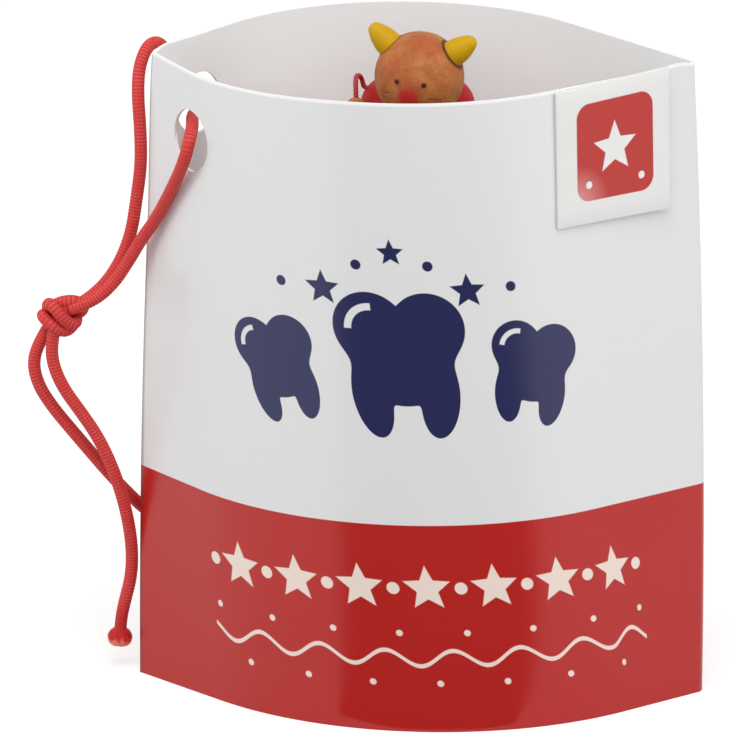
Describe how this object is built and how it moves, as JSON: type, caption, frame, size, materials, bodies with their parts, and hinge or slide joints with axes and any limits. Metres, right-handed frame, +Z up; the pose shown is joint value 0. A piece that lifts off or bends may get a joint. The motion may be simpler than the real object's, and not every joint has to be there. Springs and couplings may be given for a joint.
{
  "type": "tooth box",
  "caption": "Turned wooden milk-tooth pot with an animal figure on its lid, standing in a bowed printed card sleeve with an elastic hang cord.",
  "frame": {"origin": "on the floor under the middle of the sleeve", "axes": "+Z up, -Y out of the sleeve's front panel, +X towards its right fold"},
  "size_m": [0.0912, 0.0486, 0.0935],
  "materials": {
    "card": "gloss coated card",
    "label_paper": "matt paper",
    "elastic": "braided elastic",
    "arm_thread": "waxed thread",
    "bare_wood": "sanded, clear lacquer",
    "stained_wood": "stained, satin",
    "red_lacquer": "red lacquer",
    "yellow_lacquer": "yellow lacquer"
  },
  "bodies": {
    "sleeve": {"card_sleeve": "card", "front_label": "label_paper", "hang_cord": "elastic", "cord_knot": "elastic", "front_tail": "elastic", "rear_tail": "elastic", "front_tail_end": "elastic", "rear_tail_end": "elastic"},
    "pot": {"pot_cup": "bare_wood"},
    "lid_figure": {"lid": "bare_wood", "body_dowel": "bare_wood", "figure_body": "red_lacquer", "neck_dowel": "bare_wood", "head": "stained_wood", "left_ear": "yellow_lacquer", "right_ear": "yellow_lacquer", "arm_cord": "arm_thread", "left_hand": "stained_wood", "right_hand": "stained_wood", "left_foot": "stained_wood", "right_foot": "stained_wood"}
  },
  "joints": [
    {"name": "pot_slide", "type": "slide", "parent": "sleeve", "child": "pot", "axis": [0, 0, 1], "range_m": [0, 0.095]},
    {"name": "lid_lift", "type": "slide", "parent": "pot", "child": "lid_figure", "axis": [0, 0, 1], "range_m": [0, 0.045]}
  ]
}
